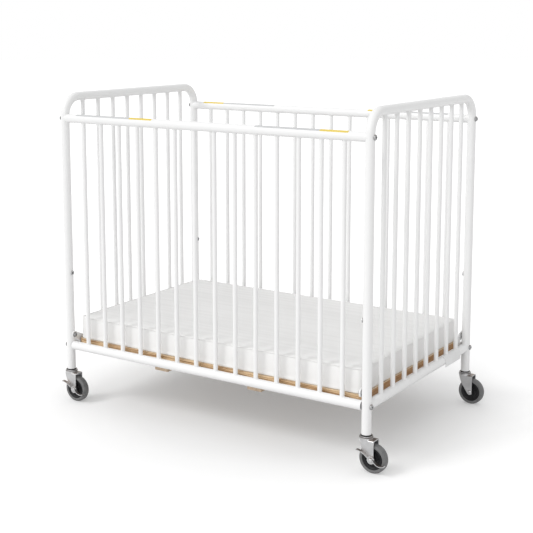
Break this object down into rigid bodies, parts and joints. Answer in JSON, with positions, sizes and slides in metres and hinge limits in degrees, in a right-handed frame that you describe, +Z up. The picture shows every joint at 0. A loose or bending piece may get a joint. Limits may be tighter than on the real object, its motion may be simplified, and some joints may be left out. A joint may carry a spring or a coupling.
{
  "type": "evacuation crib",
  "caption": "Wheeled steel nursery crib with spindle sides and bowed ends, wooden mattress board on corner brackets, foam mattress and swivel casters with foot brakes.",
  "frame": {"origin": "on the floor under the middle of the crib, midway between the axes of the four posts", "axes": "+X along the crib to the right end, +Y across it to the back, +Z up; the front is the long side at -Y"},
  "size_m": [1.0816, 0.6673, 0.9237],
  "materials": {
    "frame_enamel": "gloss",
    "zinc_plate": "satin",
    "mattress_cover": "matte",
    "board_plywood": "satin",
    "batten_pine": "matte",
    "tyre_rubber": "matte",
    "hub_plastic": "matte",
    "socket_plastic": "matte"
  },
  "bodies": {
    "crib_frame": {"back_bottom_rail": "frame_enamel", "back_spindles": "frame_enamel", "back_top_rail": "frame_enamel", "board_battens": "batten_pine", "board_screws": "zinc_plate", "bracket_bolts": "zinc_plate", "caster_stems": "zinc_plate", "corner_brackets": "frame_enamel", "front_bottom_rail": "frame_enamel", "front_spindles": "frame_enamel", "front_top_rail": "frame_enamel", "left_end_bottom_rail": "frame_enamel", "left_end_spindles": "frame_enamel", "left_end_tube": "frame_enamel", "mattress": "mattress_cover", "mattress_board": "board_plywood", "post_inserts": "zinc_plate", "rail_bolts": "zinc_plate", "rail_nuts": "zinc_plate", "right_end_bottom_rail": "frame_enamel", "right_end_spindles": "frame_enamel", "right_end_tube": "frame_enamel", "stem_sockets": "socket_plastic"},
    "front_left_caster": {"front_left_caster_fork": "zinc_plate", "front_left_axle_bolt": "zinc_plate"},
    "front_left_wheel": {"front_left_wheel_tyre": "tyre_rubber", "front_left_wheel_hub": "hub_plastic"},
    "front_left_brake": {"front_left_brake_lever": "zinc_plate"},
    "front_right_caster": {"front_right_caster_fork": "zinc_plate", "front_right_axle_bolt": "zinc_plate"},
    "front_right_wheel": {"front_right_wheel_tyre": "tyre_rubber", "front_right_wheel_hub": "hub_plastic"},
    "front_right_brake": {"front_right_brake_lever": "zinc_plate"},
    "back_left_caster": {"back_left_caster_fork": "zinc_plate", "back_left_axle_bolt": "zinc_plate"},
    "back_left_wheel": {"back_left_wheel_tyre": "tyre_rubber", "back_left_wheel_hub": "hub_plastic"},
    "back_right_caster": {"back_right_caster_fork": "zinc_plate", "back_right_axle_bolt": "zinc_plate"},
    "back_right_wheel": {"back_right_wheel_tyre": "tyre_rubber", "back_right_wheel_hub": "hub_plastic"}
  },
  "joints": [
    {"name": "front_left_swivel", "type": "hinge", "parent": "crib_frame", "child": "front_left_caster", "pos_m": [-0.5005, -0.312, 0.09], "axis": [0, 0, 1], "continuous": true},
    {"name": "front_left_roll", "type": "hinge", "parent": "front_left_caster", "child": "front_left_wheel", "pos_m": [-0.4785, -0.312, 0.038], "axis": [0, 1, 0], "continuous": true},
    {"name": "front_left_brake_press", "type": "hinge", "parent": "front_left_caster", "child": "front_left_brake", "pos_m": [-0.4785, -0.312, 0.038], "axis": [0, -1, 0], "range_deg": [0, 35]},
    {"name": "front_right_swivel", "type": "hinge", "parent": "crib_frame", "child": "front_right_caster", "pos_m": [0.5005, -0.312, 0.09], "axis": [0, 0, 1], "continuous": true},
    {"name": "front_right_roll", "type": "hinge", "parent": "front_right_caster", "child": "front_right_wheel", "pos_m": [0.5225, -0.312, 0.038], "axis": [0, 1, 0], "continuous": true},
    {"name": "front_right_brake_press", "type": "hinge", "parent": "front_right_caster", "child": "front_right_brake", "pos_m": [0.5225, -0.312, 0.038], "axis": [0, -1, 0], "range_deg": [0, 35]},
    {"name": "back_left_swivel", "type": "hinge", "parent": "crib_frame", "child": "back_left_caster", "pos_m": [-0.5005, 0.312, 0.09], "axis": [0, 0, 1], "continuous": true},
    {"name": "back_left_roll", "type": "hinge", "parent": "back_left_caster", "child": "back_left_wheel", "pos_m": [-0.4785, 0.312, 0.038], "axis": [0, 1, 0], "continuous": true},
    {"name": "back_right_swivel", "type": "hinge", "parent": "crib_frame", "child": "back_right_caster", "pos_m": [0.5005, 0.312, 0.09], "axis": [0, 0, 1], "continuous": true},
    {"name": "back_right_roll", "type": "hinge", "parent": "back_right_caster", "child": "back_right_wheel", "pos_m": [0.5225, 0.312, 0.038], "axis": [0, 1, 0], "continuous": true}
  ]
}
